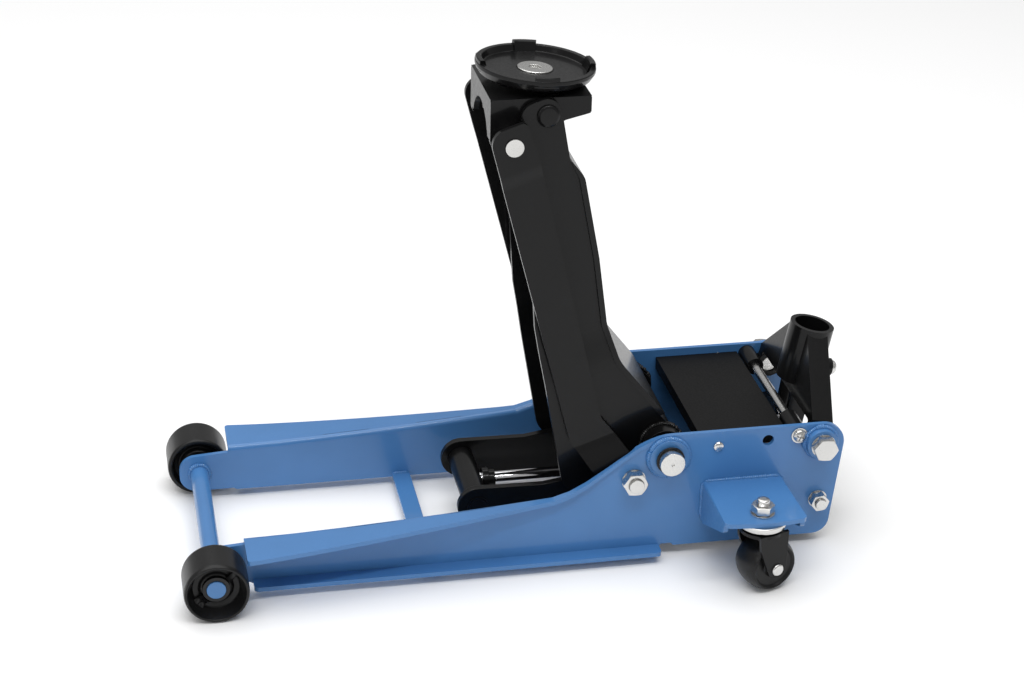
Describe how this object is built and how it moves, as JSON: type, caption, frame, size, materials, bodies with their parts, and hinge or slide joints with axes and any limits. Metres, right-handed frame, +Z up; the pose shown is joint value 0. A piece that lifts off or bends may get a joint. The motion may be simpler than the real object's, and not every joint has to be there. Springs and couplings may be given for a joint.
{
  "type": "trolley jack",
  "caption": "Low trolley jack shown raised: flanged side frames, wheels, lifting arm with levelling links, round saddle, hydraulic ram and pump, and a handle socket.",
  "frame": {"origin": "on the floor, under the middle of the jack's length and width", "axes": "+X from the front wheels towards the handle socket, +Y to the far side, +Z up"},
  "size_m": [0.7434, 0.4106, 0.544],
  "materials": {
    "blue_paint": "gloss blue powder coat",
    "black_paint": "semi-gloss black paint",
    "zinc": "bright zinc plate",
    "chrome": "ground and chromed",
    "spring_steel": "black oxide",
    "nylon": "black nylon"
  },
  "bodies": {
    "frame": {"side_frame_near": "blue_paint", "side_frame_far": "blue_paint", "pivot_bosses": "blue_paint", "front_axle": "blue_paint", "axle_spacers": "nylon", "axle_retainers": "spring_steel", "cross_strap": "blue_paint", "caster_bracket_near": "blue_paint", "caster_bracket_far": "blue_paint", "main_pivot_pin": "zinc", "pivot_circlips": "spring_steel", "link_bolts": "zinc", "link_nuts": "zinc", "handle_bolts": "zinc", "base_bolts": "zinc", "base_nuts": "zinc", "cover_screws": "zinc", "tie_screws": "zinc", "tie_bar": "black_paint", "tie_rod": "zinc", "top_cover": "black_paint", "pump_block": "black_paint", "cylinder_tube": "black_paint", "gland_nut": "zinc", "reservoir_tube": "black_paint", "filler_plug": "zinc", "pump_spring": "zinc", "kingpins": "zinc", "swivel_bearings": "zinc"},
    "lifting_arm": {"arm_wall_near": "black_paint", "arm_wall_far": "black_paint", "arm_back": "black_paint", "arm_sleeve": "black_paint", "crank_pins": "zinc", "arm_tip_pin": "black_paint"},
    "level_link_near": {"level_link_near": "black_paint"},
    "level_link_far": {"level_link_far": "black_paint"},
    "carrier": {"saddle_carrier": "black_paint", "link_pins": "zinc", "saddle_bolt": "zinc"},
    "saddle": {"saddle": "black_paint"},
    "ram": {"ram_rod": "chrome", "ram_collar": "black_paint", "crosshead_bar": "black_paint", "ram_plate_near": "black_paint", "ram_plate_far": "black_paint"},
    "handle_socket": {"handle_socket": "black_paint", "pump_roller": "zinc"},
    "clamp_screw": {"clamp_screw": "zinc"},
    "pump_plunger": {"pump_plunger": "chrome"},
    "release_valve": {"release_valve": "zinc"},
    "front_wheel_near": {"front_wheel_near": "nylon"},
    "front_wheel_far": {"front_wheel_far": "nylon"},
    "caster_near": {"caster_fork_near": "black_paint", "caster_axle_near": "zinc"},
    "caster_far": {"caster_fork_far": "black_paint", "caster_axle_far": "zinc"},
    "caster_wheel_near": {"caster_wheel_near": "nylon"},
    "caster_wheel_far": {"caster_wheel_far": "nylon"}
  },
  "joints": [
    {"name": "arm_lift", "type": "hinge", "parent": "frame", "child": "lifting_arm", "pos_m": [0.14875, 0, 0.1225], "axis": [0, -1, 0], "range_deg": [0, 80]},
    {"name": "link_near_pivot", "type": "hinge", "parent": "frame", "child": "level_link_near", "pos_m": [0.11125, -0.09, 0.0979], "axis": [0, -1, 0], "range_deg": [0, 80]},
    {"name": "link_far_pivot", "type": "hinge", "parent": "frame", "child": "level_link_far", "pos_m": [0.11125, 0.09, 0.0979], "axis": [0, -1, 0], "range_deg": [0, 80]},
    {"name": "carrier_pivot", "type": "hinge", "parent": "lifting_arm", "child": "carrier", "pos_m": [0.01654, 0, 0.50002], "axis": [0, -1, 0], "range_deg": [-80, 0]},
    {"name": "saddle_swivel", "type": "hinge", "parent": "carrier", "child": "saddle", "pos_m": [0.01434, 0, 0.52165], "axis": [0.0732, 0, 0.9973], "continuous": true},
    {"name": "ram_slide", "type": "slide", "parent": "frame", "child": "ram", "axis": [1, 0, 0], "range_m": [0, 0.09276]},
    {"name": "handle_pump", "type": "hinge", "parent": "frame", "child": "handle_socket", "pos_m": [0.31725, 0, 0.127], "axis": [0, 1, 0], "range_deg": [0, 45]},
    {"name": "plunger_slide", "type": "slide", "parent": "frame", "child": "pump_plunger", "axis": [-1, 0, 0], "range_m": [0, 0.0236], "deforming": ["pump_spring"]},
    {"name": "clamp_turn", "type": "hinge", "parent": "handle_socket", "child": "clamp_screw", "pos_m": [0.32502, 0, 0.16813], "axis": [0.9826, 0, -0.1857], "continuous": true},
    {"name": "release_turn", "type": "hinge", "parent": "frame", "child": "release_valve", "pos_m": [0.32725, 0, 0.068], "axis": [1, 0, 0], "range_deg": [-180, 180]},
    {"name": "front_wheel_near_roll", "type": "hinge", "parent": "frame", "child": "front_wheel_near", "pos_m": [-0.33775, -0.135, 0.034], "axis": [0, 1, 0], "continuous": true},
    {"name": "front_wheel_far_roll", "type": "hinge", "parent": "frame", "child": "front_wheel_far", "pos_m": [-0.33775, 0.135, 0.034], "axis": [0, 1, 0], "continuous": true},
    {"name": "caster_near_swivel", "type": "hinge", "parent": "frame", "child": "caster_near", "pos_m": [0.23225, -0.179, 0.078], "axis": [0, 0, 1], "continuous": true},
    {"name": "caster_far_swivel", "type": "hinge", "parent": "frame", "child": "caster_far", "pos_m": [0.23225, 0.179, 0.078], "axis": [0, 0, 1], "continuous": true},
    {"name": "caster_near_roll", "type": "hinge", "parent": "caster_near", "child": "caster_wheel_near", "pos_m": [0.23986, -0.17653, 0.03], "axis": [-0.309, 0.9511, 0], "continuous": true},
    {"name": "caster_far_roll", "type": "hinge", "parent": "caster_far", "child": "caster_wheel_far", "pos_m": [0.23986, 0.17653, 0.03], "axis": [0.309, 0.9511, 0], "continuous": true}
  ],
  "couplings": [
    {"joint": "link_near_pivot", "follows": "arm_lift", "ratio": 1},
    {"joint": "link_far_pivot", "follows": "arm_lift", "ratio": 1},
    {"joint": "carrier_pivot", "follows": "arm_lift", "ratio": -1},
    {"joint": "ram_slide", "follows": "arm_lift", "m_per_rad": 0.066292},
    {"joint": "plunger_slide", "follows": "handle_pump", "m_per_rad": 0.029795}
  ]
}
